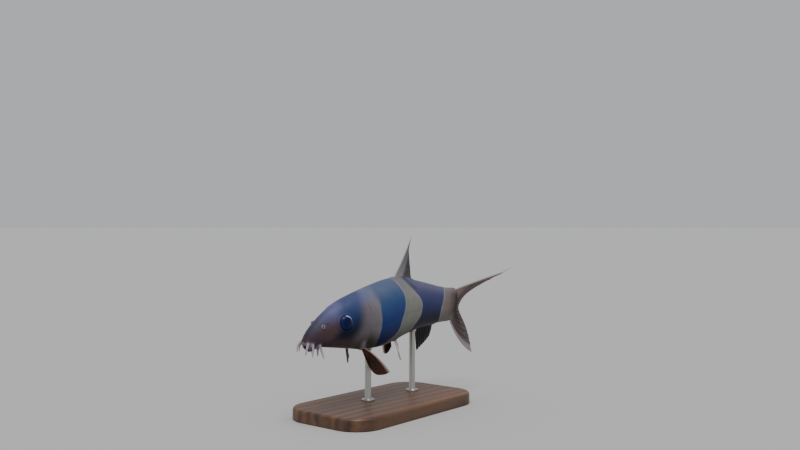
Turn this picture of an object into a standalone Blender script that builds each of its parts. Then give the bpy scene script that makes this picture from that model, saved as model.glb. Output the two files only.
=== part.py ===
"""Clown loach at life size, banking as it swims over a plain display stand.

Metres, +Z up. The origin is the middle of the stand's underside, and the fish swims towards -X.
The body is first described straight, in shares of its length: x runs from the snout (0) to the root
of the tail fin (1), y to the fish's right and z to its back. place() then bends it along its spine,
banks it and lifts it over the stand.
"""

import math

import bmesh
import bpy
import numpy as np
from mathutils import Vector
from mathutils.bvhtree import BVHTree

# Size and stance
LENGTH = 0.120  # snout tip to the root of the tail fin
SPINE_HEIGHT = 0.050  # the spine over the stand's underside, at the pivot
PIVOT = 0.45  # the share of the length that sits over the middle of the stand
PIVOT_X = -0.002
BANK = math.radians(11.3)  # the back leans to the fish's left
HEAD_TURN = math.radians(-3.4)  # heading of the snout, the flank and the tail fin against the pivot
FLANK_TURN = math.radians(7.0)
TAIL_TURN = math.radians(-31.4)
FLANK_DROP = math.radians(-2.5)  # how far the flank and the tail fin point down
TAIL_DROP = math.radians(-10.0)
GAP = 0.0003  # clearance between touching pieces
SHARP_EDGE = math.radians(45)  # faces that meet at more than this are shaded apart

# Body outline, as (share of the length, share of the length)
BACK = (
    (0.012, -0.084), (0.03, -0.043), (0.08, 0.011), (0.157, 0.063), (0.261, 0.102), (0.383, 0.134),
    (0.485, 0.151), (0.612, 0.139), (0.785, 0.106), (0.9, 0.087), (1, 0.082),
)  # fmt: skip
BELLY = (
    (0.012, -0.088), (0.03, -0.102), (0.08, -0.109), (0.213, -0.126), (0.305, -0.138), (0.42, -0.143),
    (0.5, -0.132), (0.575, -0.113), (0.65, -0.098), (0.77, -0.084), (0.85, -0.080), (1, -0.081),
)  # fmt: skip
HALF_WIDTH = (
    (0.012, 0.003), (0.03, 0.027), (0.08, 0.045), (0.165, 0.063), (0.25, 0.075), (0.36, 0.083),
    (0.45, 0.081), (0.6, 0.067), (0.75, 0.046), (0.9, 0.026), (1, 0.013),
)  # fmt: skip
WIDEST = ((0.012, 0.42), (0.2, 0.4), (0.45, 0.47), (1, 0.5))  # widest line's height, in shares of the depth
BACK_ROUNDNESS, BELLY_ROUNDNESS = 1.86, 2.35  # exponents of the section's halves, where 2 is an ellipse
SNOUT = BACK[0][0]
SEGMENTS = 36  # round the body

# Head
GILL_LINE = 0.272  # where the head ends, at the nape
GILL_BULGE = 0.022  # how much further back it ends at the side
COVER_DEPTH = 0.072  # the gill cover, front to back
COVER_LOW, COVER_HIGH = math.radians(-70), math.radians(40)
COVER_THICKNESS = 0.0014
COVER_BEVEL = 0.0004  # how far the rear edge slants forward under the skin
COVER_LIFT = 0.0004  # the cover's rear edge stands proud of the body
COVER_ROUNDING = 0.72  # share of its depth that is lost at its top and bottom
POCKET_LIFT = 0.0012  # how far the shape that cuts its pocket stands out of the skin
HEAD_RADIUS = 0.009  # turns the pocket's clearance into an angle
EYE_AT = (0.171, math.radians(23))  # share of the length, and angle up from the widest line
EYE_RADIUS = 0.00395
EYE_BULGE = 0.00275  # half thickness of the eyeball
EYE_SUNK = 0.0012  # its middle under the skin
NOSTRIL_AT = (0.074, math.radians(38))
NOSTRIL_RADIUS = 0.0009
NOSTRIL_HOLE = 0.00045
NOSTRIL_HEIGHT = 0.0008
NOSTRIL_FOOT, NOSTRIL_DEPTH = 0.001, 0.0004  # how far the tube and its hole start under the skin
NOSTRIL_CUTTER = 0.003  # length of the cylinder that cuts the hole
LIP_RADIUS = 0.0011
UPPER_LIP, LOWER_LIP, MOUTH_CORNER = 0.026, 0.062, 0.056  # shares of the length
MOUTH_SPREAD = math.radians(43)  # from the middle of the throat to a corner
MOUTH_AT = 0.044
MOUTH_SIZE = (0.0013, 0.0022, 0.0016)  # the mouth's half length, half width and depth
TAIL_START = 0.655  # where the trunk ends and the tail begins

# Barbels: name, root as (share of the length, angle), and the tip from there as shares of the length
BARBELS = (
    ("snout_inner", (0.020, math.radians(-22)), (-0.012, 0.006, -0.042)),
    ("snout_outer", (0.036, math.radians(-26)), (-0.004, 0.012, -0.046)),
    ("jaw", (0.066, math.radians(-36)), (0.016, 0.018, -0.052)),
    ("chin", (0.078, math.radians(-76)), (0.004, 0.004, -0.036)),
)
BARBEL_RADIUS = 0.0007
BARBEL_TIP = 0.00028
BARBEL_BOW = 0.0021  # how far it stands out before it hangs

# Fins. A pair of values goes from the first ray to the last, in shares of the length and in degrees
WEB = 0.0005  # thickness of the membrane
RIDGE = 0.0004  # how much thicker it is along a ray
FIN_ROOT = 0.0014  # thickness at the root
NOTCH = 0.04  # how far the web draws back between two rays at the margin
DORSAL_RAYS, ANAL_RAYS, TAIL_RAYS = 11, 8, 19
DORSAL_ROOT, DORSAL_HEIGHT, DORSAL_LEAN = (0.485, 0.612), (0.208, 0.055), (63, 76)
DORSAL_SIDEWAYS = (0.010, 0.028)  # how far the tips lean to the fish's right
DORSAL_BOW = (0.014, 0, -0.004)
DORSAL_TAPER = 1.15  # how fast the rays shorten from first to last
ANAL_ROOT, ANAL_HEIGHT, ANAL_LEAN = (0.703, 0.840), (0.122, 0.082), (70, 65)
ANAL_SIDEWAYS = (0, 0.026)  # how far the tips lean to the fish's right
ANAL_BOW = (-0.004, 0, -0.003)
TAIL_ROOT = (0.079, -0.079)
TAIL_FORK = 0.050  # length of the middle rays
TAIL_REACH, TAIL_ANGLE, TAIL_BOW = (0.345, 0.287), (28.8, -30), (-0.044, -0.050)  # upper lobe, lower lobe
TAIL_TAPER = (2.2, 1.8)  # how fast the rays of each lobe shorten towards the fork
TAIL_EDGE, TAIL_MIDDLE = 0.0008, 0.0028  # thickness at the root
PECTORAL = {
    "root": ((0.294, math.radians(-52)), (0.301, math.radians(-64))),  # share of the length, and angle
    "first": (0.121, 0.067, -0.104),
    "last": (0.044, 0.018, -0.080),
    "belly": 0.026,  # how far the margin bulges down between them
    "bow": (-0.006, 0.012, 0.024),
    "rays": 13,
}
PELVIC = {
    "root": ((0.520, math.radians(-68)), (0.548, math.radians(-80))),
    "first": (0.047, 0.020, -0.088),
    "last": (0.030, 0.004, -0.052),
    "belly": 0.017,
    "bow": (-0.004, 0.006, 0),
    "rays": 8,
}

# Stand
BASE_LENGTH, BASE_WIDTH, BASE_THICKNESS = 0.096, 0.052, 0.006
BASE_CORNER = 0.014
BASE_EDGE = 0.0012
ROD_RADIUS = 0.0016
ROD_STATIONS = (("front", 0.39), ("rear", 0.681))


def clear_scene():
    for obj in list(bpy.data.objects):
        bpy.data.objects.remove(obj)


# The straight body


def smooth(knots, x):
    """A natural cubic spline through the knots, in the root of x from the snout, which so ends round."""
    at, value = np.array(knots, float).T
    at = np.sqrt(at - SNOUT)
    step, rise = np.diff(at), np.diff(value) / np.diff(at)
    system = np.eye(len(at))
    for i in range(1, len(at) - 1):
        system[i, i - 1 : i + 2] = step[i - 1], 2 * (step[i - 1] + step[i]), step[i]
    curve = np.linalg.solve(system, np.concatenate([[0], 6 * np.diff(rise), [0]]))
    s = np.sqrt(np.clip(x, SNOUT, 1) - SNOUT)
    i = np.clip(np.searchsorted(at, s) - 1, 0, len(step) - 1)
    a, b, h = at[i + 1] - s, s - at[i], step[i]
    cubic = (curve[i] * a**3 + curve[i + 1] * b**3) / (6 * h)
    return cubic + (value[i] / h - curve[i] * h / 6) * a + (value[i + 1] / h - curve[i + 1] * h / 6) * b


def surface(x, angle):
    """Points of the straight body's skin, at shares x of the length and angles up from its right side."""
    x, angle = np.broadcast_arrays(np.asarray(x, float), np.asarray(angle, float))
    back, belly, width = smooth(BACK, x), smooth(BELLY, x), smooth(HALF_WIDTH, x)
    middle = belly + smooth(WIDEST, x) * (back - belly)
    c, s = np.cos(angle), np.sin(angle)
    power = 2 / np.where(s < 0, BELLY_ROUNDNESS, BACK_ROUNDNESS)
    y = width * np.sign(c) * np.abs(c) ** power
    z = middle + np.where(s < 0, middle - belly, back - middle) * np.sign(s) * np.abs(s) ** power
    return np.stack([x, y, z], -1) * LENGTH


def outward(x, angle):
    """Unit normals of the straight skin there."""
    d = 1e-4
    along = surface(x + d, angle) - surface(x - d, angle)
    round_ = surface(x, angle + d) - surface(x, angle - d)
    normal = np.cross(round_, along)
    return normal / np.linalg.norm(normal, axis=-1, keepdims=True)


# The bent body

STATIONS = np.linspace(-0.1, 1.5, 641)


def headings(x):
    """Heading and climb of the spine at shares x of the length."""
    front = np.clip(1 - x / 0.40, 0, 1)
    flank = np.clip((x - PIVOT) / (1 - PIVOT), 0, 1) ** 1.5
    fin = np.clip((x - 0.95) / 0.30, 0, 1)
    turn = HEAD_TURN * front**2 * (3 - 2 * front) + FLANK_TURN * flank + TAIL_TURN * fin
    return turn, FLANK_DROP * flank + TAIL_DROP * fin


def spine():
    """The spine's points at STATIONS, in metres from the pivot."""
    turn, climb = headings(STATIONS)
    along = np.stack([np.cos(turn) * np.cos(climb), np.sin(turn) * np.cos(climb), np.sin(climb)], 1)
    step = (STATIONS[1] - STATIONS[0]) * LENGTH
    points = np.vstack([np.zeros(3), np.cumsum((along[1:] + along[:-1]) / 2 * step, 0)])
    return points - points[np.argmin(np.abs(STATIONS - PIVOT))]


SPINE = spine()


def place(points):
    """Straight-body points, in metres, bent along the spine, banked and lifted over the stand."""
    points = np.asarray(points, float)
    x = points[..., 0] / LENGTH
    base = np.stack([np.interp(x, STATIONS, SPINE[:, k]) for k in range(3)], -1)
    turn, climb = headings(x)
    side = np.stack([-np.sin(turn), np.cos(turn), 0 * turn], -1)
    up = np.stack([-np.cos(turn) * np.sin(climb), -np.sin(turn) * np.sin(climb), np.cos(climb)], -1)
    bent = base + points[..., 1:2] * side + points[..., 2:3] * up
    c, s = math.cos(BANK), math.sin(BANK)
    return bent @ np.array([[1, 0, 0], [0, c, s], [0, -s, c]]) + [PIVOT_X, 0, SPINE_HEIGHT]


# Meshes


def material(name, colour, roughness, metallic=0.0):
    made = bpy.data.materials.new(name)
    made.use_nodes = True
    shader = made.node_tree.nodes["Principled BSDF"]
    shader.inputs["Base Color"].default_value = (*colour, 1)
    shader.inputs["Roughness"].default_value = roughness
    shader.inputs["Metallic"].default_value = metallic
    return made


def mesh_object(name, points, faces, finish=None):
    mesh = bpy.data.meshes.new(name)
    mesh.from_pydata(np.asarray(points).reshape(-1, 3).tolist(), [], [tuple(f) for f in faces])
    mesh.validate()
    obj = bpy.data.objects.new(name, mesh)
    bpy.context.scene.collection.objects.link(obj)
    mesh.shade_smooth()
    mesh.set_sharp_from_angle(angle=SHARP_EDGE)
    if finish:
        mesh.materials.append(finish)
    return obj


def lattice(rows, columns, start=0, closed=False):
    """Triangles of a grid of points, all split the same way. closed joins the last column to the first."""
    faces = []
    for i in range(rows - 1):
        for j in range(columns if closed else columns - 1):
            k = (j + 1) % columns
            a, b = start + i * columns + j, start + i * columns + k
            c, d = start + (i + 1) * columns + k, start + (i + 1) * columns + j
            faces += [(a, b, c), (a, c, d)]
    return faces


def loft(name, rings, finish=None):
    """A closed body through rings of points, each end closed by a fan to its middle."""
    count, around = rings.shape[:2]
    points = np.vstack([rings.reshape(-1, 3), rings[0].mean(0), rings[-1].mean(0)])
    faces = lattice(count, around, closed=True)
    first, last, end = count * around, count * around + 1, (count - 1) * around
    for j in range(around):
        k = (j + 1) % around
        faces += [(first, k, j), (last, end + j, end + k)]
    return faced_out(mesh_object(name, points, faces, finish))


def slab(name, top, bottom, finish=None):
    """A closed body between two grids of points of one size, with its rim round all four sides."""
    rows, columns = top.shape[:2]
    size = rows * columns
    faces = lattice(rows, columns) + [(a, c, b) for a, b, c in lattice(rows, columns, size)]
    rim = [(0, j) for j in range(columns - 1)] + [(i, columns - 1) for i in range(rows - 1)]
    rim += [(rows - 1, j) for j in range(columns - 1, 0, -1)] + [(i, 0) for i in range(rows - 1, 0, -1)]
    ids = [i * columns + j for i, j in rim]
    for a, b in zip(ids, ids[1:] + ids[:1]):
        faces += [(a, size + a, size + b), (a, size + b, b)]
    points = np.vstack([top.reshape(-1, 3), bottom.reshape(-1, 3)])
    return faced_out(mesh_object(name, points, faces, finish))


def faced_out(obj):
    """Turns a closed body's faces outwards, keeping how they are split."""
    body = bmesh.new()
    body.from_mesh(obj.data)
    if body.calc_volume(signed=True) < 0:
        bmesh.ops.reverse_faces(body, faces=body.faces)
    body.to_mesh(obj.data)
    body.free()
    return obj


def combine(obj, pieces, operation):
    """Joins pieces to obj, or cuts them from it, keeps its largest closed surface and removes the pieces."""
    group = bpy.data.collections.new(obj.name + "_pieces")
    bpy.context.scene.collection.children.link(group)
    for piece in pieces:
        bpy.context.scene.collection.objects.unlink(piece)
        group.objects.link(piece)
    boolean = obj.modifiers.new("combine", "BOOLEAN")
    boolean.operation = operation
    boolean.operand_type = "COLLECTION"
    boolean.collection = group
    boolean.solver = "EXACT"
    graph = bpy.context.evaluated_depsgraph_get()
    joined = bpy.data.meshes.new_from_object(obj.evaluated_get(graph))
    obj.modifiers.clear()
    obj.data = joined
    joined.shade_smooth()
    joined.set_sharp_from_angle(angle=SHARP_EDGE)
    for piece in pieces:
        bpy.data.objects.remove(piece)
    bpy.data.collections.remove(group)
    keep_largest(obj)


def keep_largest(obj):
    """Deletes all of obj's surfaces but the one with the most faces."""
    body = bmesh.new()
    body.from_mesh(obj.data)
    left, shells = set(body.verts), []
    while left:
        shell, edge = set(), [left.pop()]
        while edge:
            vertex = edge.pop()
            shell.add(vertex)
            near = [e.other_vert(vertex) for e in vertex.link_edges]
            fresh = [v for v in near if v in left]
            left.difference_update(fresh)
            edge += fresh
        shells.append(shell)
    largest = max(shells, key=len)
    loose = [v for v in body.verts if v not in largest]
    bmesh.ops.delete(body, geom=loose, context="VERTS")
    body.to_mesh(obj.data)
    body.free()


def tree_of(objects):
    """A search tree over all the objects' faces."""
    points, faces = [], []
    for obj in objects:
        start = len(points)
        points += [obj.matrix_world @ v.co for v in obj.data.vertices]
        faces += [tuple(start + i for i in f.vertices) for f in obj.data.polygons]
    return BVHTree.FromPolygons(points, faces)


def seat(points, direction, tree, reach=0.004):
    """Slides points along direction on to the tree's surface, less the gap. Both are world arrays."""
    seated = []
    for point, way in zip(points, np.broadcast_to(direction, np.shape(points))):
        way = Vector(way).normalized()
        hit, normal, _, _ = tree.ray_cast(Vector(point) - way * reach, way, 4 * reach)
        if hit is None:
            hit, normal, _, _ = tree.find_nearest(Vector(point))
        seated.append(hit - way * GAP / max(0.4, abs(way.dot(normal))))
    return np.array(seated)


# Flesh


def gill_line(angle):
    """Where the head meets the trunk: further back at the side than at the nape and the throat."""
    return GILL_LINE + GILL_BULGE * np.cos(angle) ** 2


def trunk_rings(start, end, count):
    """Rings of skin between two ends, each a share of the length or an array of one for each angle."""
    angle = np.linspace(0, 2 * math.pi, SEGMENTS, endpoint=False)
    share = np.linspace(0, 1, count)[:, None]
    x = np.broadcast_to(start, angle.shape) * (1 - share) + np.broadcast_to(end, angle.shape) * share
    return place(surface(x, angle[None, :]))


def head_rings(count):
    """Rings from the snout to the gill line, closer together towards the snout."""
    angle = np.linspace(0, 2 * math.pi, SEGMENTS, endpoint=False)
    share = np.linspace(0.03, 1, count)[:, None] ** 2
    return place(surface(SNOUT + share * (gill_line(angle) - SNOUT), angle[None, :]))


def lip(name, front, count=13, sides=10):
    """A fleshy roll on the underside of the snout that bows from one corner of the mouth to the other."""
    turn = np.linspace(-1, 1, count)
    bow = 1 - np.abs(turn) ** 2.2
    path = surface(MOUTH_CORNER + (front - MOUTH_CORNER) * bow, -math.pi / 2 + turn * MOUTH_SPREAD)
    radius = LIP_RADIUS * (0.3 + 0.7 * np.sqrt(np.clip(bow, 0, 1)))
    return tube(name, place(path), radius, sides)


def mouth():
    """The hollow between the lips."""
    turn = np.linspace(0, 2 * math.pi, 14, endpoint=False)[None, :]
    tilt = np.radians(np.linspace(-80, 80, 8))[:, None]
    rings = [np.cos(tilt) * np.cos(turn), np.cos(tilt) * np.sin(turn), np.sin(tilt) + 0 * turn]
    middle = surface(MOUTH_AT, -math.pi / 2)
    return loft("mouth", place(middle + np.stack(rings, -1) * MOUTH_SIZE))


def tube(name, path, radius, sides, finish=None, first_ring=None):
    """A round rope along a path of world points. first_ring may change the ring it starts with."""
    along = np.gradient(path, axis=0)
    along /= np.linalg.norm(along, axis=1, keepdims=True)
    across = np.empty_like(along)
    last = np.array([0.31, 0.42, 0.85])
    for i, way in enumerate(along):
        last = last - way * (way @ last)
        last /= np.linalg.norm(last)
        across[i] = last
    other = np.cross(along, across)
    angle = np.linspace(0, 2 * math.pi, sides, endpoint=False)[None, :, None]
    circle = np.cos(angle) * across[:, None] + np.sin(angle) * other[:, None]
    rings = path[:, None] + np.broadcast_to(radius, len(path))[:, None, None] * circle
    if first_ring:
        rings[0] = first_ring(rings[0], -along[0])
    return loft(name, rings, finish)


def on_side(point, side):
    """A straight-body point, given for the right, on the right (1) or the left (-1)."""
    return np.asarray(point, float) * [1, side, 1]


def skin_spot(at, side):
    """World point, outward normal and forward direction on the skin, at (share, angle) on one side."""
    x, angle = at
    point = on_side(surface(x, angle), side)
    normal = on_side(outward(x, angle), side)
    here = place(point)
    out = place(point + normal * 1e-4) - here
    ahead = here - place(point + [1e-4, 0, 0])
    out /= np.linalg.norm(out)
    ahead -= out * (ahead @ out)
    return here, out, ahead / np.linalg.norm(ahead)


def cone(name, middle, axis, low, high, height, sides=12):
    """A cone frustum from middle along axis, low and high its end radii."""
    path = np.array([middle, middle + axis * height])
    return tube(name, path, np.array([low, high]), sides)


def nostril(side):
    """A short flared tube on the snout, and the hole down its middle, as (tube, hole)."""
    here, out, _ = skin_spot(NOSTRIL_AT, side)
    foot, height = here - out * NOSTRIL_FOOT, NOSTRIL_FOOT + NOSTRIL_HEIGHT
    rim = cone("nostril", foot, out, NOSTRIL_RADIUS * 1.3, NOSTRIL_RADIUS, height)
    hole = cone("hole", here - out * NOSTRIL_DEPTH, out, NOSTRIL_HOLE, NOSTRIL_HOLE, NOSTRIL_CUTTER, 8)
    return rim, hole


def ball(name, side, grow, finish=None):
    """The eyeball, flattened and set into the head, grown all round by grow."""
    here, out, ahead = skin_spot(EYE_AT, side)
    up = np.cross(out, ahead)
    middle = here - out * EYE_SUNK
    turn = np.linspace(0, 2 * math.pi, 20, endpoint=False)[None, :, None]
    tilt = np.radians(np.linspace(-81, 81, 10))[:, None, None]
    disc = np.cos(turn) * ahead + np.sin(turn) * up
    rings = middle + np.cos(tilt) * disc * (EYE_RADIUS + grow) + np.sin(tilt) * out * (EYE_BULGE + grow)
    return loft(name, rings, finish)


def gill_cover(name, side, grow, finish=None):
    """The bony gill cover, a curved plate in the cheek whose round rear edge is the gill line."""
    share = np.linspace(-1, 1, 12)
    reach = (COVER_HIGH - COVER_LOW) / 2 + grow / HEAD_RADIUS
    angle = (COVER_HIGH + COVER_LOW) / 2 + share * reach
    depth = COVER_DEPTH * (1 - COVER_ROUNDING * np.abs(share) ** 3.5)
    rear = gill_line(angle) + (3 if grow else 0) * GAP / LENGTH
    front = gill_line(angle) - depth - grow / LENGTH
    across = np.linspace(0, 1, 7)[:, None]
    x = front + (rear - front) * across
    lift = COVER_LIFT * across**2 + (POCKET_LIFT if grow else 0)
    skin, normal = surface(x, angle[None, :]), outward(x, angle[None, :])
    top = skin + normal * lift[..., None]
    low = skin - normal * (COVER_THICKNESS + grow) - np.array([COVER_BEVEL, 0, 0]) * across[..., None]
    return slab(name, place(on_side(top, side)), place(on_side(low, side)), finish)


def barbel(name, at, reach, side, tree, finish):
    """A tapered feeler that grows straight out of the skin and then hangs down."""
    root, out = on_side(surface(*at), side), on_side(outward(*at), side)
    tip = root + on_side(reach, side) * LENGTH
    t = np.array([0, 0.22, 0.36, 0.5, 0.64, 0.78, 0.9, 1])[:, None]
    bend = root + out * BARBEL_BOW + (tip - root) * 0.2
    path = place((1 - t) ** 2 * root + 2 * t * (1 - t) * bend + t**2 * tip)
    radius = BARBEL_RADIUS + (BARBEL_TIP - BARBEL_RADIUS) * t[:, 0]
    return tube(name, path, radius, 10, finish, lambda ring, way: seat(ring, way, tree))


# Fins


def fin(name, root, tip, bow, rays, finish, tree, thickness=FIN_ROOT):
    """A fin between two rows of straight-body points, one point a column: its root and its margin.

    bow moves the middle of each ray. Ray and web columns alternate, and the rays stand up as ridges
    on both faces. The root is seated on the tree's surface, if there is one.
    """
    columns = 2 * rays - 1
    is_ray = np.arange(columns) % 2 == 0
    tip = root + (tip - root) * np.where(is_ray, 1, 1 - NOTCH)[:, None]
    u = np.array([0, 0.09, 0.18, 0.30, 0.44, 0.58, 0.74, 0.88, 1])[:, None, None]
    sheet = place((1 - u) ** 2 * root + 2 * u * (1 - u) * ((root + tip) / 2 + bow) + u**2 * tip)
    normal = np.cross(np.gradient(sheet, axis=0), np.gradient(sheet, axis=1))
    normal /= np.linalg.norm(normal, axis=-1, keepdims=True)
    u = u[..., 0]
    depth = WEB * (1 - 0.4 * u**6) + (thickness - WEB) * (1 - u) ** 9
    depth = depth + is_ray * RIDGE * np.clip(u / 0.12, 0, 1) * np.sqrt(1.02 - u)
    half = normal * depth[..., None] / 2
    top, low = sheet + half, sheet - half
    way = sheet[0] - sheet[1]
    if tree:
        top[0], low[0] = seat(top[0], way, tree), seat(low[0], way, tree)
    return slab(name, top, low, finish)


def shares(rays):
    """The place of each column across a fin of so many rays, 0 at the first ray and 1 at the last."""
    return np.linspace(0, 1, 2 * rays - 1)[:, None]


def blend(a, b, t):
    return np.asarray(a, float) * (1 - t) + np.asarray(b, float) * t


def dorsal_fin(tree, finish):
    """A pointed fin with a hollow rear margin, on the highest part of the back."""
    v = shares(DORSAL_RAYS)
    root = np.array([1, 0, 1]) * surface(blend(*DORSAL_ROOT, v[:, 0]), math.pi / 2)
    height = blend(*DORSAL_HEIGHT[::-1], (1 - v) ** DORSAL_TAPER)
    lean = np.radians(blend(*DORSAL_LEAN, v))
    ray = np.concatenate([np.cos(lean) * height, blend(*DORSAL_SIDEWAYS, v), np.sin(lean) * height], 1)
    bow = np.array([DORSAL_BOW]) * LENGTH * (1 - v)
    return fin("fin_dorsal", root, root + ray * LENGTH, bow, DORSAL_RAYS, finish, tree)


def anal_fin(tree, finish):
    """A short, broad fin under the root of the tail, its rear part swung to the fish's right."""
    v = shares(ANAL_RAYS)
    root = np.array([1, 0, 1]) * surface(blend(*ANAL_ROOT, v[:, 0]), -math.pi / 2)
    height = blend(*ANAL_HEIGHT, v)
    lean = np.radians(blend(*ANAL_LEAN, v))
    ray = np.concatenate([np.cos(lean) * height, blend(*ANAL_SIDEWAYS, v), -np.sin(lean) * height], 1)
    bow = np.array([ANAL_BOW]) * LENGTH * (1 - v)
    return fin("fin_anal", root, root + ray * LENGTH, bow, ANAL_RAYS, finish, tree)


def tail_fin(finish):
    """A deeply forked fin, its lobes pointed and the upper one a little longer."""
    v = shares(TAIL_RAYS)
    root = np.concatenate([1 + GAP / LENGTH + 0 * v, 0 * v, blend(*TAIL_ROOT, v)], 1) * LENGTH
    spread = 2 * np.abs(v - 0.5)
    lobes = (TAIL_REACH, TAIL_ANGLE, TAIL_BOW, TAIL_TAPER)
    reach, angle, bow, taper = (np.where(v < 0.5, *values) for values in lobes)
    length = blend(TAIL_FORK, reach, spread**taper)
    angle = np.radians(angle) * spread**0.8
    ray = np.concatenate([np.cos(angle) * length, 0 * v, np.sin(angle) * length], 1)
    bow = np.concatenate([0 * v, 0 * v, bow * spread**2], 1) * LENGTH
    thickness = blend(TAIL_EDGE, TAIL_MIDDLE, np.sqrt(1 - spread[:, 0] ** 2))
    return fin("fin_tail", root, root + ray * LENGTH, bow, TAIL_RAYS, finish, None, thickness)


def paired_fin(name, side, form, tree, finish):
    """A fin on one side, its root on the skin. form holds its sizes."""
    v = shares(form["rays"])
    (x, angle), (last_x, last_angle) = form["root"]
    root = surface(blend(x, last_x, v[:, 0]), blend(angle, last_angle, v[:, 0]))
    ray = blend(form["first"], form["last"], v) - np.array([0, 0, form["belly"]]) * 4 * v * (1 - v)
    bow = np.array(form["bow"]) * LENGTH * (1 - v)
    tip = root + ray * LENGTH
    root, tip, bow = (on_side(points, side) for points in (root, tip, bow))
    return fin(name, root, tip, bow, form["rays"], finish, tree)


# Stand


def stand_base(finish):
    """A flat plate with round corners and a softened top edge."""
    body = bmesh.new()
    bmesh.ops.create_cube(body, size=1)
    bmesh.ops.scale(body, vec=(BASE_LENGTH, BASE_WIDTH, BASE_THICKNESS), verts=body.verts)
    bmesh.ops.translate(body, vec=(0, 0, BASE_THICKNESS / 2), verts=body.verts)
    upright = [e for e in body.edges if abs(e.verts[0].co.z - e.verts[1].co.z) > 1e-6]
    bmesh.ops.bevel(body, geom=upright, offset=BASE_CORNER, segments=8, profile=0.5, affect="EDGES")
    rim = [e for e in body.edges if all(v.co.z > BASE_THICKNESS - 1e-6 for v in e.verts)]
    bmesh.ops.bevel(body, geom=rim, offset=BASE_EDGE, segments=3, profile=0.5, affect="EDGES")
    mesh = bpy.data.meshes.new("stand_base")
    body.to_mesh(mesh)
    body.free()
    obj = bpy.data.objects.new("stand_base", mesh)
    bpy.context.scene.collection.objects.link(obj)
    mesh.materials.append(finish)
    return obj


def stand_rod(name, station, tree, finish):
    """A rod from the base up to the belly, its top cut to the belly's slope."""
    belly = place(surface(station, -math.pi / 2))
    foot = np.array([belly[0], belly[1], BASE_THICKNESS + GAP])
    path = np.array([belly - [0, 0, 0.002], foot])
    return tube(name, path, ROD_RADIUS, 16, finish, lambda ring, way: seat(ring, way, tree))


def build():
    clear_scene()
    skin = material("loach skin", (0.10, 0.14, 0.21), 0.38)
    pale = material("pale skin", (0.36, 0.34, 0.31), 0.38)
    web = material("fin web", (0.42, 0.33, 0.31), 0.42)
    dark_web = material("dark fin web", (0.06, 0.05, 0.05), 0.42)
    eye = material("eye", (0.01, 0.02, 0.05), 0.08)
    feeler = material("feeler", (0.52, 0.45, 0.42), 0.45)
    wood = material("walnut", (0.09, 0.05, 0.03), 0.5)
    steel = material("brushed steel", (0.6, 0.6, 0.6), 0.3, 1.0)

    angle = np.linspace(0, 2 * math.pi, SEGMENTS, endpoint=False)
    head = loft("head", head_rings(24), skin)
    torso = loft("torso", trunk_rings(gill_line(angle) + GAP / LENGTH, TAIL_START, 14), pale)
    tail = loft("tail", trunk_rings(TAIL_START + GAP / LENGTH, 1.0, 13), skin)
    sides = (("left", -1), ("right", 1))

    nostrils = [nostril(side) for _, side in sides]
    lips = [lip("upper_lip", UPPER_LIP), lip("lower_lip", LOWER_LIP)]
    combine(head, [rim for rim, _ in nostrils] + lips, "UNION")
    pockets = [gill_cover("pocket", side, GAP) for _, side in sides]
    sockets = [ball("socket", side, GAP) for _, side in sides]
    combine(head, pockets + sockets + [hole for _, hole in nostrils] + [mouth()], "DIFFERENCE")

    for name, side in sides:
        gill_cover("gill_cover_" + name, side, 0, skin)
        ball("eye_" + name, side, 0, eye)

    tree = tree_of([head, torso, tail])
    for word, at, reach in BARBELS:
        for name, side in sides:
            barbel(f"barbel_{word}_{name}", at, reach, side, tree, feeler)
    dorsal_fin(tree, dark_web)
    anal_fin(tree, dark_web)
    tail_fin(web)
    for name, side in sides:
        paired_fin("fin_pectoral_" + name, side, PECTORAL, tree, web)
        paired_fin("fin_pelvic_" + name, side, PELVIC, tree, dark_web)
    stand_base(wood)
    for name, station in ROD_STATIONS:
        stand_rod("stand_rod_" + name, station, tree, steel)


build()
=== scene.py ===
"""The finish of a clown loach at life size, swimming over a plain display stand.

Metres, +Z up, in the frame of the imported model: the origin is the middle of the stand's underside, and
the fish swims towards -X. The fish is first described straight, in shares of its length: x runs from the
snout (0) to the root of the tail fin (1), y to its right and z to its back. A place on its skin is a share
and an angle up from the widest line of its right side. place() then bends the fish along its spine, banks
it and lifts it over the stand.
"""

import math
from functools import partial

import bpy
import numpy as np
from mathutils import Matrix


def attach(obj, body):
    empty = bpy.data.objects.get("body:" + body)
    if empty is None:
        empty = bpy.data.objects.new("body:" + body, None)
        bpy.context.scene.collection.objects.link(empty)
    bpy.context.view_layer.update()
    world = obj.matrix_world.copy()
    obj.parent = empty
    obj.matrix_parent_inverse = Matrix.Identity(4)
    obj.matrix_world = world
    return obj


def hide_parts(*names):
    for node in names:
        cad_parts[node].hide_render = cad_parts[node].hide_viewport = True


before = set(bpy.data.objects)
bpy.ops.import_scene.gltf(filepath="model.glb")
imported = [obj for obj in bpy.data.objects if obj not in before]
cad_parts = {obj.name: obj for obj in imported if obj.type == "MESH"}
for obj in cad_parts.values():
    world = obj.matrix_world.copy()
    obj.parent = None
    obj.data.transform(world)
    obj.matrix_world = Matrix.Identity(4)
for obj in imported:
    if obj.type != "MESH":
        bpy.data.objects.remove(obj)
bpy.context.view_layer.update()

MM, DEG = 0.001, math.pi / 180
SIDES = (("left", -1), ("right", 1))
ON_BACK, ON_BELLY = math.pi / 2, -math.pi / 2  # the angles of those two lines

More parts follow.
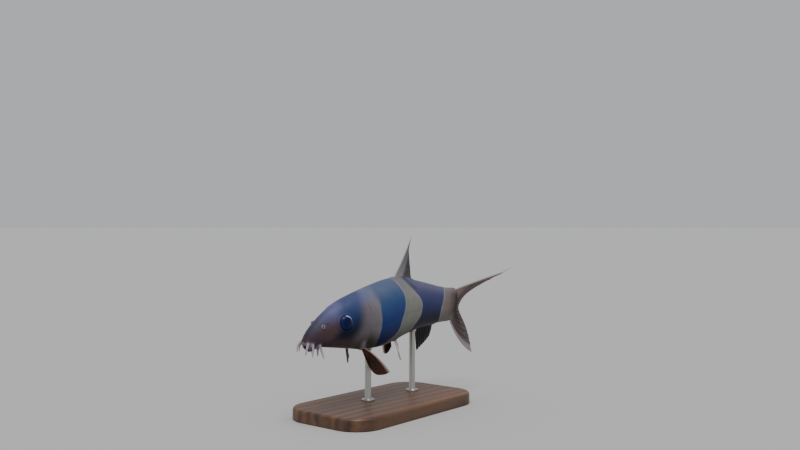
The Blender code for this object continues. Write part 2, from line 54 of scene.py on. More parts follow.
# The fish's size and stance
LENGTH = 0.120
SPINE_HEIGHT = 0.050
PIVOT, PIVOT_X = 0.45, -0.002
BANK = 11.3 * DEG
HEAD_TURN, FLANK_TURN, TAIL_TURN = -3.4 * DEG, 7.0 * DEG, -31.4 * DEG
FLANK_DROP, TAIL_DROP = -2.5 * DEG, -10.0 * DEG
HEAD_TURN_END, FLANK_TURN_POWER, TAIL_TURN_START, TAIL_TURN_RUN = 0.40, 1.5, 0.95, 0.30
STATIONS = np.linspace(-0.1, 1.5, 641)  # of the spine's points

# Body outline, as (share of the length, share of the length)
BACK = (
    (0.012, -0.084), (0.03, -0.043), (0.08, 0.011), (0.157, 0.063), (0.261, 0.102), (0.383, 0.134),
    (0.485, 0.151), (0.612, 0.139), (0.785, 0.106), (0.9, 0.087), (1, 0.082),
)
BELLY = (
    (0.012, -0.088), (0.03, -0.102), (0.08, -0.109), (0.213, -0.126), (0.305, -0.138), (0.42, -0.143),
    (0.5, -0.132), (0.575, -0.113), (0.65, -0.098), (0.77, -0.084), (0.85, -0.080), (1, -0.081),
)
HALF_WIDTH = (
    (0.012, 0.003), (0.03, 0.027), (0.08, 0.045), (0.165, 0.063), (0.25, 0.075), (0.36, 0.083),
    (0.45, 0.081), (0.6, 0.067), (0.75, 0.046), (0.9, 0.026), (1, 0.013),
)
WIDEST = ((0.012, 0.42), (0.2, 0.4), (0.45, 0.47), (1, 0.5))  # how far up from the belly it is widest
BACK_ROUNDNESS, BELLY_ROUNDNESS = 1.86, 2.35
SNOUT = BACK[0][0]
TAPER_START, SKIN_END = 0.965, 1.034  # the skin thins out between these, over the roots of the tail's rays
SKIN_END_WIDTH, SKIN_END_SUNK = 0.05, 0.010  # what is left of its width there, and how far its edges draw in
TAIL_SPREAD = (0.23, -0.62)  # slopes of the tail's highest and lowest ray at the body
SPREAD_START, SPREAD_RUN = 0.985, 0.03  # where the outline turns along them

# Head
GILL_LINE, GILL_BULGE = 0.272, 0.022  # where the head ends, and how much further back at the side
GILL_FADE = 0.3  # the skin's rings are straight again this far behind it
COVER_DEPTH = 0.072
COVER_LOW, COVER_HIGH = -70, 40  # degrees up from the widest line
COVER_SWELL, GROOVE = 0.5 * MM, 0.25 * MM
EYE_AT = (0.171, 23 * DEG)
EYE_RADIUS, EYE_BULGE, EYE_SUNK = 3.95 * MM, 2.75 * MM, 1.2 * MM
EYE_RIM, EYE_RIM_RADIUS, SOCKET_DEPTH = 0.3 * MM, 0.5 * MM, 1.6 * MM
NOSTRILS = (  # place, radius and height of the rim, and how pale it is
    ((0.074, 40 * DEG), 0.56 * MM, 0.75 * MM, 1),
    ((0.092, 41 * DEG), 0.55 * MM, 0.12 * MM, 0),
)
NOSTRIL_RIM, NOSTRIL_HOLE, NOSTRIL_DEPTH = 0.26 * MM, 0.28 * MM, 0.7 * MM
MOUTH_AT = 0.041
MOUTH_AIM = np.array([-0.80, 0, -0.60])  # the way the lips reach: ahead and down
MOUTH_WIDE = 1.3  # times as wide as long
MUZZLE = 2.2 * MM  # how far out from the lips the skin is drawn towards them
MUZZLE_DEPTH = (-3.6 * MM, -2.0 * MM)  # the skin further behind the lips is left alone
LIP_RING, LIP_ROLL, LIP_REACH = 1.9 * MM, 0.5 * MM, (1.2 * MM, 0.45 * MM)
MOUTH_HOLE, MOUTH_DEPTH = 1.55 * MM, 1.1 * MM
SPINE_SLIT = ((0.118, 2 * DEG), (0.172, -4 * DEG))  # the sheath of the spine under the eye

# Barbels: name, root, and the tip from there as shares of the length
BARBELS = (
    ("snout_inner", (0.020, -22 * DEG), (-0.012, 0.006, -0.042)),
    ("snout_outer", (0.036, -26 * DEG), (-0.004, 0.012, -0.046)),
    ("jaw", (0.066, -36 * DEG), (0.016, 0.018, -0.052)),
    ("chin", (0.078, -76 * DEG), (0.004, 0.004, -0.036)),
)
BARBEL_RADIUS, BARBEL_TIP, BARBEL_BOW = 0.7 * MM, 0.28 * MM, 2.1 * MM
BARBEL_SIDES = 22

# Fins. A pair of values goes from the first ray to the last, in shares of the length and in degrees
WEB = 0.22 * MM  # thickness of the membrane
RAY = 0.34 * MM  # how much thicker it is along a ray
NOTCH, FORK_NOTCH = 0.04, 0.25  # depth of the margin's notches, and of those inside a fork beside them
ROOT_SUNK = 0.05  # the share of a ray that is under the skin
PLEAT = 0.10 * MM  # how far the web stands to one side at its rays and to the other between them
FIN_ROWS = 96
# In millimetres, ripple is the height of the margin's waves and thick how much thicker the root is. leads
# are thick rays: on the first (0) or last (1) side, how many rays wide and how many millimetres thicker
DORSAL = dict(
    root=((0.485, ON_BACK), (0.612, ON_BACK)), height=(0.208, 0.055), lean=(63, 76), sideways=(0.010, 0.028),
    bow=(0.014, 0, -0.004), taper=1.15, rays=11, per_ray=16, ripple=0.15, thick=1.0, leads=((0, 1.0, 0.12),),
)
ANAL = dict(
    root=((0.703, ON_BELLY), (0.840, ON_BELLY)), height=(0.122, 0.082), lean=(70, 65), sideways=(0, 0.026),
    bow=(-0.004, 0, -0.003), taper=1, rays=8, per_ray=16, ripple=0.15, thick=0.9, leads=((0, 1.0, 0.12),),
)
# The tail's pairs go from its upper edge to its lower one
TAIL = dict(
    root=(0.079, -0.079), fork=0.050, reach=(0.345, 0.287), angle=(28.8, -30), bow=(-0.044, -0.050),
    taper=(2.2, 1.8), rays=19, per_ray=14, ripple=0.35, thick=0.5, leads=((0, 1.0, 0.5), (1, 1.0, 0.25)),
)
PECTORAL = dict(
    root=((0.294, -52 * DEG), (0.301, -64 * DEG)), first=(0.121, 0.067, -0.104), last=(0.044, 0.018, -0.080),
    belly=0.026, bow=(-0.006, 0.012, 0.024), rays=13, per_ray=16, ripple=0.2, thick=0.8,
    leads=((0, 1.3, 0.3),),
)
PELVIC = dict(
    root=((0.520, -68 * DEG), (0.548, -80 * DEG)), first=(0.047, 0.020, -0.088), last=(0.030, 0.004, -0.052),
    belly=0.017, bow=(-0.004, 0.006, 0), rays=8, per_ray=16, ripple=0.15, thick=0.8, leads=((0, 2.2, 0.6),),
)

# Soft swellings of the skin: the place or line under each one, its height and radius in millimetres
SWELLINGS = (
    (((0.145, 0.95), (0.21, 0.95)), 0.3, 2.2),  # the brow
    (((0.20, -0.25), (0.225, -0.5)), 0.5, 4),  # the cheek
    (SPINE_SLIT, 0.10, 0.8),
    (SPINE_SLIT, -0.2, 0.25),
    *(((at,), 0.45, 1.0) for _, at, _ in BARBELS),
    (DORSAL["root"], 0.6, 1.5),
    (ANAL["root"], 0.7, 1.3),
    (PECTORAL["root"], 0.9, 1.7),
    (PELVIC["root"], 0.6, 1.3),
)
CHEST_PATCH = ((0.279, -0.58), (0.291, -0.93))  # pale skin before the root of each chest fin
PORE_LINE, PORE_LINE_RADIUS = 0.09 * MM, 0.28 * MM
MUSCLE_STEP, MUSCLE_BEND, MUSCLE_HEIGHT = 0.026, 0.012, 0.006 * MM

# Rings of the skin to a length of the fish, and how many more there are at the last three places
SNOUT_RINGS, HEAD_RINGS, TRUNK_RINGS, GILL_RINGS, TAIL_RINGS, TIP_RINGS = 900, 680, 245, 700, 400, 50
SNOUT_BACK, RING_POINTS = 0.12, 184

# Markings: the front and the rear edge of the mask and of two sharp bands, as (degrees up from the widest
# line, share of the length)
BANDS = (
    (((-90, 0.126), (-40, 0.118), (-9, 0.123), (12, 0.140), (33, 0.140), (69, 0.157), (90, 0.165)),
     ((-90, 0.165), (-40, 0.190), (-15, 0.214), (5, 0.241), (24, 0.252), (46, 0.254), (70, 0.268),
      (90, 0.272))),
    (((-90, 0.400), (-64, 0.372), (-48, 0.365), (-33, 0.359), (-7, 0.361), (18, 0.354), (38, 0.347),
      (61, 0.333), (90, 0.342)),
     ((-90, 0.380), (-60, 0.400), (-44, 0.436), (-32, 0.474), (-10, 0.492), (9, 0.505), (29, 0.509),
      (52, 0.489), (78, 0.468), (90, 0.463))),
    (((-90, 0.560), (-60, 0.580), (-31, 0.618), (-10, 0.646), (6, 0.651), (25, 0.633), (48, 0.575),
      (73, 0.537), (90, 0.526)),
     ((-90, 0.862), (-57, 0.855), (-3, 0.843), (34, 0.857), (78, 0.871), (90, 0.874))),
)
RIM_STRENGTH = (0.12, 0.6, 0.5, 0.75)  # of the pale lines along the last four edges

# Skin colours along the fish: of its flank, its back and its belly. The belly's dark olive at 0.3, behind
# the gill cover, is painted shade
ALONG = (
    ((0.02, "#4c3b42"), (0.05, "#4b3b41"), (0.1, "#574245"), (0.2, "#4c4346"), (0.3, "#79737a"),
     (0.55, "#8d8f87"), (0.86, "#8c8079"), (0.92, "#84746e"), (0.97, "#66534e"), (1.0, "#493733")),
    ((0.02, "#413c4a"), (0.06, "#4e4c60"), (0.12, "#62658f"), (0.25, "#70749a"), (0.33, "#697084"),
     (0.4, "#6c7074"), (0.47, "#7f7d80"), (0.56, "#7f7d80"), (0.88, "#8b8388"), (1.0, "#8a7c7e")),
    ((0.02, "#5c4e50"), (0.12, "#6a5458"), (0.22, "#75605f"), (0.3, "#47453c"), (0.5, "#6a6a62"),
     (0.9, "#9a9086")),
)
# Skin colours from the belly (0) to the back (1): of the second band, the third band and the mask. Their
# darkening towards the belly is partly painted shade, and their paler tops are partly painted light
UPWARD = (
    ((0.0, "#0d101c"), (0.12, "#10204a"), (0.35, "#1c3069"), (0.55, "#284180"), (0.8, "#3d5782"),
     (0.93, "#5c6986")),
    ((0.0, "#08080e"), (0.2, "#0b0c16"), (0.36, "#171d42"), (0.55, "#2d3869"), (0.8, "#474b76"),
     (0.93, "#64637f")),
    ((0.1, "#1c1a1d"), (0.38, "#14171d"), (0.52, "#182036"), (0.68, "#243159"), (0.82, "#374571"),
     (0.95, "#4d557d")),
)
# Painted shade: how bright the skin's colour is kept from the belly (0) to the back (1), darkest under the
# belly and a little darker at the very top, where the light falls strongest
PAINTED_SHADE = ((0.0, 0.5), (0.2, 0.6), (0.45, 0.94), (0.8, 1.0), (0.95, 0.95), (1.0, 0.85))

# Fin webs: the looks that fin_web() takes
BROWN_WEB = ("#7d6a68", "#6b463b", "#6a4438"), ("#44291f", "#36180f", "#3a1a10"), (0.85, 0.75)
WEBS = {
    "dorsal": (("#a49da2", "#9a9498", "#8e898d"), ("#908a8f", "#7c787b", "#716e73"), (0.95, 0.9),
               "#b9b6bd", "#2a292d"),
    "black": (("#0f0d10", "#120f11", "#241c1b"), ("#0d0b0e", "#0f0d0f", "#1c1615"), (0.95, 0.85),
              "#1c1718", "#0b0a0c"),
    "tail": (("#a8968c", "#6f5f5c", "#80767b"), ("#9c8a80", "#5d4c48", "#5a4f53"), (0.8, 0.7),
             "#a79ca1", "#1c1411"),
    "chest": (*BROWN_WEB, "#ad9384", "#1a0e0a"),
    "belly": (*BROWN_WEB, "#f2eae6", "#1a0e0a"),
}
LEAST_SOLID = 0.85  # no web is less opaque than this

# Stand
BASE_LENGTH, BASE_WIDTH, BASE_THICKNESS = 0.096, 0.052, 0.006
BASE_CORNER, BASE_EDGE, BASE_CHAMFER = 14 * MM, 1.2 * MM, 0.4 * MM
ROD_STATIONS = (("front", 0.39), ("rear", 0.681))
# The rod's profile as (millimetres up from the plate or the belly, radius)
ROD_FOOT = ((0.0, 3.4), (0.7, 3.4), (1.0, 3.1), (1.0, 1.9), (1.6, 1.62))
ROD_CUP = ((-2.6, 1.62), (-2.0, 2.0), (-1.2, 2.3), (-0.4, 2.3), (0.0, 2.0))
ROD_INTO_BELLY, ROD_INTO_PLATE = 0.9 * MM, 0.1 * MM
FLOOR_RADIUS, FLOOR_SIDES = 30, 96


# The straight body


def spline(knots, at, warp=lambda x: x):
    """A natural cubic spline of the warped place through the knots, held level past its ends."""
    place_of, value = np.array(knots, float).T
    knot = warp(place_of)
    step, rise = np.diff(knot), np.diff(value) / np.diff(knot)
    system = np.eye(len(knot))
    for i in range(1, len(knot) - 1):
        system[i, i - 1 : i + 2] = step[i - 1], 2 * (step[i - 1] + step[i]), step[i]
    curve = np.linalg.solve(system, np.concatenate([[0], 6 * np.diff(rise), [0]]))
    s = warp(np.clip(at, place_of[0], place_of[-1]))
    i = np.clip(np.searchsorted(knot, s) - 1, 0, len(step) - 1)
    a, b, h = knot[i + 1] - s, s - knot[i], step[i]
    cubic = (curve[i] * a**3 + curve[i + 1] * b**3) / (6 * h)
    return cubic + (value[i] / h - curve[i] * h / 6) * a + (value[i + 1] / h - curve[i + 1] * h / 6) * b


def from_snout(x):
    """The root of the distance behind the snout, in which the outline's curves end round."""
    return np.sqrt(x - SNOUT)


def ease(low, high, value):
    """0 up to low, 1 from high on, and 3t^2 - 2t^3 between them."""
    t = np.clip((value - low) / (high - low), 0, 1)
    return t * t * (3 - 2 * t)


def hill(distance, radius):
    """1 at 0, falling like a bell to about a third at the radius."""
    return np.exp(-((distance / radius) ** 2))


def blend(a, b, t):
    """a at 0 and b at 1, and evenly from one to the other."""
    return np.asarray(a, float) * (1 - t) + np.asarray(b, float) * t


def surface(x, angle):
    """Straight skin: a section whose halves over and under its widest line are superellipses.

    Past the root of the tail fin it spreads with the rays and thins out along an S-shaped curve.
    """
    x, angle = np.broadcast_arrays(np.asarray(x, float), np.asarray(angle, float))
    back, belly, width = (spline(knots, x, from_snout) for knots in (BACK, BELLY, HALF_WIDTH))
    past = np.maximum(x - SPREAD_START, 0)
    past = np.where(past < SPREAD_RUN, past**2 / (2 * SPREAD_RUN), past - SPREAD_RUN / 2)
    sunk = SKIN_END_SUNK * ease(TAPER_START, SKIN_END, x)
    back, belly = back + TAIL_SPREAD[0] * past - sunk, belly + TAIL_SPREAD[1] * past + sunk
    width = width * blend(1, SKIN_END_WIDTH, ease(TAPER_START, SKIN_END, x))
    middle = belly + spline(WIDEST, x, from_snout) * (back - belly)
    c, s = np.cos(angle), np.sin(angle)
    power = 2 / np.where(s < 0, BELLY_ROUNDNESS, BACK_ROUNDNESS)
    y = width * np.sign(c) * np.abs(c) ** power
    z = middle + np.where(s < 0, middle - belly, back - middle) * np.sign(s) * np.abs(s) ** power
    return np.stack([x, y, z], -1) * LENGTH


def outward(x, angle):
    """Unit normals of the straight skin, from the cross product of its two slopes."""
    d = 1e-4
    along = surface(x + d, angle) - surface(x - d, angle)
    round_ = surface(x, angle + d) - surface(x, angle - d)
    normal = np.cross(round_, along)
    return normal / np.linalg.norm(normal, axis=-1, keepdims=True)


# The bent body


def headings(x):
    """Heading and climb of the spine at shares x of the length, summed from its three bends."""
    front = np.clip(1 - x / HEAD_TURN_END, 0, 1)
    flank = np.clip((x - PIVOT) / (1 - PIVOT), 0, 1) ** FLANK_TURN_POWER
    fin = np.clip((x - TAIL_TURN_START) / TAIL_TURN_RUN, 0, 1)
    turn = HEAD_TURN * front**2 * (3 - 2 * front) + FLANK_TURN * flank + TAIL_TURN * fin
    return turn, FLANK_DROP * flank + TAIL_DROP * fin


def spine():
    """The spine's points at STATIONS, summed from its headings, in metres from the pivot."""
    turn, climb = headings(STATIONS)
    along = np.stack([np.cos(turn) * np.cos(climb), np.sin(turn) * np.cos(climb), np.sin(climb)], 1)
    step = (STATIONS[1] - STATIONS[0]) * LENGTH
    points = np.vstack([np.zeros(3), np.cumsum((along[1:] + along[:-1]) / 2 * step, 0)])
    return points - points[np.argmin(np.abs(STATIONS - PIVOT))]


SPINE = spine()


def place(points):
    """Straight points set off from the spine's point sideways and upwards, then banked and lifted."""
    points = np.asarray(points, float)
    x = points[..., 0] / LENGTH
    base = np.stack([np.interp(x, STATIONS, SPINE[:, k]) for k in range(3)], -1)
    turn, climb = headings(x)
    side = np.stack([-np.sin(turn), np.cos(turn), 0 * turn], -1)
    up = np.stack([-np.cos(turn) * np.sin(climb), -np.sin(turn) * np.sin(climb), np.cos(climb)], -1)
    bent = base + points[..., 1:2] * side + points[..., 2:3] * up
    c, s = math.cos(BANK), math.sin(BANK)
    return bent @ np.array([[1, 0, 0], [0, c, s], [0, -s, c]]) + [PIVOT_X, 0, SPINE_HEIGHT]


def on_side(point, side):
    """A straight-body point, given for the right, on the right (1) or the left (-1)."""
    return np.asarray(point, float) * [1, side, 1]


# Meshes


def circle(count):
    """That many angles evenly round a circle."""
    return np.linspace(0, 2 * math.pi, count, endpoint=False)


def new_object(name, data):
    """An object in the scene, at the origin and unturned."""
    made = bpy.data.objects.new(name, data)
    bpy.context.scene.collection.objects.link(made)
    return made


def grid_faces(rows, columns, closed=False):
    """Corner numbers of the four-sided faces of a grid. closed joins its last column to its first."""
    i, j = np.meshgrid(np.arange(rows - 1), np.arange(columns - (not closed)), indexing="ij")
    k, near, far = (j + 1) % columns, i * columns, (i + 1) * columns
    return np.stack([near + j, near + k, far + k, far + j], -1).reshape(-1, 4)


def piece(name, points, quads, triangles, finish, replaced=(), fields=None):
    """A smooth closed mesh from arrays, its faces turned outwards, that rides on the fish's one body."""
    points = np.asarray(points, float).reshape(-1, 3)
    triangles = np.asarray(triangles, int).reshape(-1, 3)
    halves = np.concatenate([quads[:, [0, 1, 2]], quads[:, [0, 2, 3]], triangles])
    a, b, c = (points[halves[:, k]] for k in range(3))
    if np.einsum("ij,ij->", a, np.cross(b, c)) < 0:
        quads, triangles = quads[:, ::-1], triangles[:, ::-1]
    mesh = bpy.data.meshes.new(name)
    mesh.from_pydata(points, [], quads.tolist() + triangles.tolist())
    mesh.validate()
    mesh.shade_smooth()
    for field, values in (fields or {}).items():
        values = np.asarray(values, float)
        kind, key = ("FLOAT", "value") if values.size == len(points) else ("FLOAT_VECTOR", "vector")
        mesh.attributes.new(field, kind, "POINT").data.foreach_set(key, values.ravel())
    mesh.materials.append(finish)
    made = new_object(name, mesh)
    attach(made, "root")
    if replaced:
        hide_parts(*replaced)
    return made


def loft(name, rings, finish, replaced=(), fields=None):
    """A closed surface through rings of points, each end closed by a fan to its middle."""
    rows, columns = rings.shape[:2]

    def with_middles(values):
        """Values at the rings' points, then their means on the first and the last ring."""
        means = (end.mean(1).reshape(1, -1) for end in (values[:1], values[-1:]))
        return np.concatenate([values.reshape(rows * columns, -1), *means])

    j = np.arange(columns)
    k, end = (j + 1) % columns, (rows - 1) * columns
    first = np.stack([np.full(columns, rows * columns), k, j], -1)
    last = np.stack([np.full(columns, rows * columns + 1), end + j, end + k], -1)
    fields = {field: with_middles(values) for field, values in (fields or {}).items()}
    quads, fans = grid_faces(rows, columns, closed=True), np.concatenate([first, last])
    return piece(name, with_middles(rings), quads, fans, finish, replaced, fields)


def tube_rings(path, radius, sides):
    """Rings of the given radii round a path of points, each turned from the last as little as can be."""
    along = np.gradient(path, axis=0)
    along /= np.linalg.norm(along, axis=1, keepdims=True)
    across = np.empty_like(along)
    last = np.array([0.31, 0.42, 0.85])
    for i, way in enumerate(along):
        last = last - way * (way @ last)
        last /= np.linalg.norm(last)
        across[i] = last
    other = np.cross(along, across)
    turn = circle(sides)[None, :, None]
    ring = np.cos(turn) * across[:, None] + np.sin(turn) * other[:, None]
    return path[:, None] + radius[:, None, None] * ring


# Materials


def colour(code):
    """An sRGB hex colour as linear red, green, blue and an alpha of 1."""
    share = np.array([int(code[k : k + 2], 16) for k in (1, 3, 5)]) / 255
    return (*np.where(share <= 0.04045, share / 12.92, ((share + 0.055) / 1.055) ** 2.4), 1)


def fill(tree, node, inputs):
    """Gives a node's inputs their numbers and hex colours, and links the outputs of other nodes to them."""
    for key, value in inputs.items():
        if isinstance(value, bpy.types.NodeSocket):
            tree.links.new(value, node.inputs[key])
        else:
            node.inputs[key].default_value = colour(value) if isinstance(value, str) else value


COLOURS = {"out": 2, "data_type": "RGBA"}  # a Mix node of two colours
EASED = {"interpolation_type": "SMOOTHSTEP"}  # a MapRange node that starts and ends softly


def add(tree, kind, inputs=None, out=0, stops=(), **settings):
    """Adds a node with its settings and inputs, and gives back one of its outputs.

    Inputs that share a name go by number: a Mix node's 0 is the share of its second colour and 6 and 7 are
    its colours, and a MapRange node's 0 is its value, 1 and 2 its range and 3 and 4 the new one. stops are a
    colour ramp's places with their hex colours or grey values.
    """
    made = tree.nodes.new("ShaderNode" + kind)
    for name, value in settings.items():
        setattr(made, name, value)
    fill(tree, made, inputs or {})
    for i, (at, shade) in enumerate(stops):
        elements = made.color_ramp.elements
        element = elements[i] if i < len(elements) else elements.new(at)
        element.position = at
        element.color = colour(shade) if isinstance(shade, str) else (shade, shade, shade, 1)
    return made.outputs[out]


def new_material(name):
    """A material, add() for its nodes and fill() for its shader."""
    made = bpy.data.materials.new(name)
    made.use_nodes = True
    tree = made.node_tree
    return made, partial(add, tree), partial(fill, tree, tree.nodes["Principled BSDF"])


def loach_skin():
    """Wet skin with sunken scales: a soft gloss over pigment, and dark bands with a paler line beside."""
    made, node, finish = new_material("wet loach skin")
    along, rise, crown, under, mask, band, rim, fin_shadow, pale, hollow_shade = (
        node("Attribute", out="Fac", attribute_name=name)
        for name in ("along", "rise", "crown", "under", "mask", "band_mm", "rim", "fin_shadow", "pale", "hollow_shade")
    )
    lie = node("Attribute", out="Vector", attribute_name="lie")
    flank, back, belly = (node("ValToRGB", {0: along}, stops=stops) for stops in ALONG)
    second, third, masked = (node("ValToRGB", {0: rise}, stops=stops) for stops in UPWARD)
    behind = node("MapRange", {0: along, 1: 0.5, 2: 0.57}, **EASED)
    dark = node("Mix", {0: behind, 6: second, 7: third}, **COLOURS)

    # Blotches of 5 mm and pigment cells of 0.5 mm, drawn coarser than the real 0.1 mm so that they show
    blotch = node("TexNoise", {"Vector": lie, "Scale": 0.2, "Detail": 3.0, "Roughness": 0.55})
    fleck = node("TexNoise", {"Vector": lie, "Scale": 2.0, "Detail": 2.0, "Roughness": 0.6})

    # The bands' edges waver by half a millimetre, and a paler line runs just outside some of them
    waver = node("Math", {0: blotch, 1: 1.2, 2: band}, operation="MULTIPLY_ADD")
    beside = node("MapRange", {0: waver, 1: -0.8, 2: 1.0})
    line = node("ValToRGB", {0: beside}, stops=((0.0, 0.0), (0.45, 1.0), (0.75, 0.6), (0.95, 0.0)))
    line = node("Math", {0: line, 1: rim}, operation="MULTIPLY")
    inside = node("MapRange", {0: waver, 1: 0.25, 2: 0.95}, **EASED)

    # One colour over the other: from the flank's up to a painted shadow of the dorsal fin, then painted
    # shade by height with flecks and blotches, and last the pale skin and painted shade in pits and grooves
    skin = flank
    for share, over in ((under, belly), (crown, back), (mask, masked), (line, "#9a98b0"), (inside, dark),
                        (fin_shadow, "#3f454c")):
        skin = node("Mix", {0: share, 6: skin, 7: over}, **COLOURS)
    # The colour times painted shade by height, then times flecks and blotches of pigment
    for value, stops in ((rise, PAINTED_SHADE), (fleck, ((0.3, 0.86), (0.7, 1))), (blotch, ((0.3, 0.88), (0.7, 1)))):
        pattern = node("ValToRGB", {0: value}, stops=stops)
        skin = node("Mix", {0: 1.0, 6: skin, 7: pattern}, blend_type="MULTIPLY", **COLOURS)
    # Last the pale skin, then painted shade, near black, in the nostrils, the mouth, the spine's slit and
    # the groove behind the gill cover
    for share, over in ((pale, "#8f8490"), (hollow_shade, "#140a0c")):
        skin = node("Mix", {0: share, 6: skin, 7: over}, **COLOURS)

    # Sunken scales of 0.6 mm, drawn coarser than the real 0.3 mm so that they show, and none on the head
    scales = node("TexVoronoi", {"Vector": lie, "Scale": 1.7}, feature="SMOOTH_F1")
    behind_head = node("MapRange", {0: along, 1: 0.27, 2: 0.31}, **EASED)
    scales = node("Math", {0: scales, 1: behind_head}, operation="MULTIPLY")
    bump = node("Bump", {"Height": scales, "Distance": 0.02 * MM, "Strength": 0.5})
    bump = node("Bump", {"Height": blotch, "Distance": 0.05 * MM, "Strength": 0.4, "Normal": bump})
    finish({
        "Base Color": skin, "Roughness": 0.46, "IOR": 1.34, "Specular IOR Level": 0.12, "Coat Weight": 0.03,
        "Coat Roughness": 0.25, "Subsurface Weight": 0.08, "Subsurface Scale": 0.6 * MM,
        "Subsurface Radius": (1.0, 0.45, 0.3), "Sheen Weight": 0.15, "Sheen Roughness": 0.3,
        "Sheen Tint": "#b4aee0", "Normal": bump,
    })
    return made


def fin_web(name, bone, web, solid, lead, stain):
    """Clear skin stretched over bony rays: opaque rays, and a web that lets some light through between them.

    bone and web are the colours of rays and web at the root, the middle and the margin, solid is how opaque
    the web is at the last two, lead the colour of the thick leading rays and stain that of the dark field.
    """
    made, node, finish = new_material(name)
    reach, ray, thick, dark = (
        node("Attribute", out="Fac", attribute_name=field) for field in ("reach", "ray", "lead", "dark")
    )
    lie = node("Attribute", out="Vector", attribute_name="lie")
    # Clouds of 2 mm in the dark field
    cloud = node("TexNoise", {"Vector": lie, "Scale": 0.5, "Detail": 3.0})
    cloud = node("MapRange", {0: cloud, 1: 0.3, 2: 0.7, 3: 0.8, 4: 1.0})
    cloudy = node("Math", {0: dark, 1: cloud}, operation="MULTIPLY")
    on_ray = node("MapRange", {0: ray, 1: 0.15, 2: 0.85}, **EASED)
    tint, bone = (
        node("ValToRGB", {0: reach}, stops=zip((0.0, 0.5, 1.0), shades)) for shades in (web, bone)
    )
    for share, over in ((on_ray, bone), (cloudy, stain), (thick, lead)):
        tint = node("Mix", {0: share, 6: tint, 7: over}, **COLOURS)
    stops = ((0.0, 1.0), (0.12, 0.95), (0.4, solid[0]), (1.0, solid[1]))
    alpha = node("ValToRGB", {0: reach}, stops=stops)
    near_ray = node("MapRange", {0: ray, 1: 0.1, 2: 0.7})
    least = node("Math", {0: dark, 1: LEAST_SOLID}, operation="ADD")
    for other in (near_ray, thick, least):
        alpha = node("Math", {0: alpha, 1: other}, operation="MAXIMUM")

    # Joints across the outer part of each ray, 0.5 mm apart: at scale 1 they would be pi / 10 mm apart
    joints = node("TexWave", {"Vector": lie, "Scale": 2 * math.pi / 10, "Distortion": 0.4}, out="Fac",
                 bands_direction="X")
    outer = node("MapRange", {0: reach, 1: 0.25, 2: 0.4})
    for share in (ray, outer):
        joints = node("Math", {0: joints, 1: share}, operation="MULTIPLY")
    finish({
        "Base Color": tint, "Alpha": alpha, "Roughness": 0.46, "IOR": 1.34, "Specular IOR Level": 0.18,
        "Coat Weight": 0.05, "Coat Roughness": 0.25,
        "Normal": node("Bump", {"Height": joints, "Distance": 0.04 * MM, "Strength": 0.5}),
    })
    return made


def fish_eye():
    """A clear wet cornea over a wide navy pupil and a dark iris, its upper rear rim silvered and painted
    with a highlight.
    """
    made, node, finish = new_material("wet fish eye")
    disc = node("Attribute", out="Vector", attribute_name="disc")
    radius = node("VectorMath", {0: disc}, out="Value", operation="LENGTH")
    share = node("MapRange", {0: radius, 2: EYE_RADIUS / MM})
    iris = node("ValToRGB", {0: share}, stops=(
        (0.0, "#07103a"), (0.62, "#091440"), (0.68, "#16245a"), (0.82, "#111c44"), (0.93, "#0c1430"),
        (1.0, "#0b101e")))
    # A crescent from 2.8 to 3.7 mm from the middle, of silvery fibres 0.3 mm apart: a silvered rim of the
    # iris that also stands for a painted highlight on the eye's upper rear
    toward = node("VectorMath", {0: disc, 1: (-0.8, 0.6, 0)}, out="Value", operation="DOT_PRODUCT")
    fibres = node("TexNoise", {"Vector": disc, "Scale": 3.0, "Detail": 4.0})
    silver_highlight = node("MapRange", {0: fibres, 1: 0.3, 2: 0.6, 3: 0.5, 4: 1.0})
    for value, low, high in ((toward, 1.2, 2.4), (radius, 2.8, 2.95), (radius, 3.7, 3.4)):
        inside = node("MapRange", {0: value, 1: low, 2: high}, **EASED)
        silver_highlight = node("Math", {0: silver_highlight, 1: inside}, operation="MULTIPLY")
    tint = node("Mix", {0: silver_highlight, 6: iris, 7: "#adbcd2"}, **COLOURS)
    finish({
        "Base Color": tint, "Roughness": 0.35, "IOR": 1.34, "Specular IOR Level": 0.1, "Coat Weight": 0.3,
        "Coat Roughness": 0.05, "Coat IOR": 1.34,
    })
    return made


def feeler_skin():
    """Soft bare skin, much paler than the head, that lets a little light through."""
    made, node, finish = new_material("soft feeler skin")
    reach = node("Attribute", out="Fac", attribute_name="reach")
    lie = node("Attribute", out="Vector", attribute_name="lie")
    tint = node("ValToRGB", {0: reach}, stops=((0.0, "#8f8490"), (0.3, "#a89ba6"), (1.0, "#c6bac4")))
    # Flecks of 0.5 mm
    fleck = node("TexNoise", {"Vector": lie, "Scale": 2.0, "Detail": 2.0})
    fleck = node("ValToRGB", {0: fleck}, stops=((0.3, 0.88), (0.7, 1.0)))
    tint = node("Mix", {0: 1.0, 6: tint, 7: fleck}, **COLOURS, blend_type="MULTIPLY")
    finish({
        "Base Color": tint, "Roughness": 0.45, "IOR": 1.34, "Specular IOR Level": 0.3, "Coat Weight": 0.1,
        "Coat Roughness": 0.3, "Subsurface Weight": 0.3, "Subsurface Scale": 0.8 * MM,
    })
    return made


